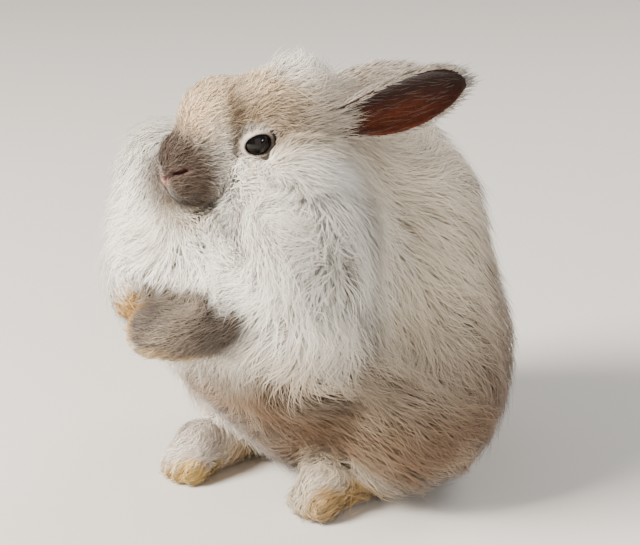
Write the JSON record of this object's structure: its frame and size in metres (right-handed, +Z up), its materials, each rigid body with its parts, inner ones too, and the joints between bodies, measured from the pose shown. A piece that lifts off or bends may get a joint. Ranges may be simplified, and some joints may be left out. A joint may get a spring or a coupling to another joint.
{
  "type": "angora rabbit",
  "caption": "Young cream and fawn angora rabbit sitting up on its haunches, forepaws drawn up under a white ruff, ears laid back; a still, life-size museum model.",
  "frame": {"origin": "middle of the bounding box in X and Y, on the floor that the feet and rump rest on", "axes": "+Z up; the rabbit faces -Y and its left side is +X"},
  "size_m": [0.1768, 0.2092, 0.2031],
  "materials": {
    "face_fur": "short dense fur, cream with a grey-brown muzzle",
    "ear_skin": "thin short fur outside, bare dark red-brown skin inside",
    "eye": "wet, near black",
    "ruff_wool": "fine white wool in soft locks",
    "body_wool": "fine beige wool in loose wavy locks, browner low down",
    "paw_fur": "short streaky grey fur, yellowed at the rim",
    "foot_fur": "short white fur, yellowed at the sole"
  },
  "bodies": {
    "root": {"ear_left": "ear_skin", "ear_right": "ear_skin", "eye_left": "eye", "eye_right": "eye", "foreleg_left": "paw_fur", "foreleg_right": "paw_fur", "haunch_left": "body_wool", "haunch_right": "body_wool", "head": "face_fur", "hind_foot_left": "foot_fur", "hind_foot_right": "foot_fur", "neck": "ruff_wool", "tail": "ruff_wool", "torso": "body_wool"}
  },
  "joints": []
}
